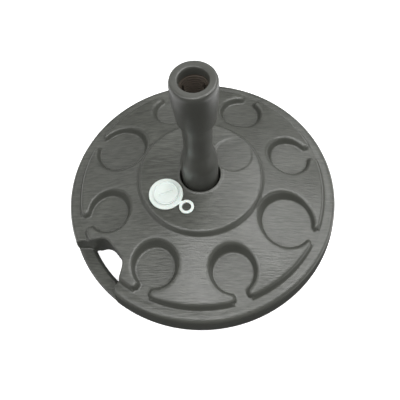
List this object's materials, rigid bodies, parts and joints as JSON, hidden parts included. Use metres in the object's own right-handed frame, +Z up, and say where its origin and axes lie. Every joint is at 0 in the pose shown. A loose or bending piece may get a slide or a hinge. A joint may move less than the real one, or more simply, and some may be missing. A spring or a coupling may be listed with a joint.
{
  "type": "parasol base",
  "caption": "Round fillable parasol base of moulded plastic with keyhole pockets, a hand grip, a screw filler plug and a lift-out stand tube with a screw clamp collar.",
  "frame": {"origin": "centre of the face that the base rests on, on the axis of the stand tube", "axes": "+Z up along the stand tube; azimuths run from -Y towards +X; the hand grip is at -55 degrees and the filler plug at -60.6 degrees"},
  "size_m": [0.4638, 0.4638, 0.326],
  "materials": {
    "base_plastic": "satin moulded polyethylene, anthracite grey, with a fine brushed grain",
    "tube_plastic": "satin moulded polyethylene, anthracite grey, smooth",
    "clamp_plastic": "black moulded plastic",
    "plug_plastic": "white moulded plastic, slightly glossy",
    "seal_rubber": "black soft rubber"
  },
  "bodies": {
    "base": {"base_shell": "base_plastic", "plug_seal": "seal_rubber"},
    "tube": {"stand_tube": "tube_plastic"},
    "clamp": {"clamp_ring": "clamp_plastic"},
    "collar": {"clamp_collar": "tube_plastic"},
    "ring": {"plug_ring": "plug_plastic"},
    "plug": {"filler_plug": "plug_plastic"}
  },
  "joints": [
    {"name": "tube_lift", "type": "slide", "parent": "base", "child": "tube", "axis": [0, 0, 1], "range_m": [0, 0.1]},
    {"name": "clamp_rise", "type": "slide", "parent": "tube", "child": "clamp", "axis": [0, 0, 1], "range_m": [0, 0.0061]},
    {"name": "collar_turn", "type": "hinge", "parent": "clamp", "child": "collar", "pos_m": [0, 0, 0.29], "axis": [0, 0, 1], "range_deg": [0, 360]},
    {"name": "plug_rise", "type": "slide", "parent": "base", "child": "ring", "axis": [0, 0, 1], "range_m": [0, 0.0161]},
    {"name": "plug_turn", "type": "hinge", "parent": "ring", "child": "plug", "pos_m": [-0.05654, -0.03186, 0.1], "axis": [0, 0, 1], "range_deg": [0, 960]}
  ],
  "couplings": [
    {"joint": "clamp_rise", "follows": "collar_turn", "m_per_rad": 0.00095493},
    {"joint": "plug_rise", "follows": "plug_turn", "m_per_rad": 0.00095493}
  ]
}
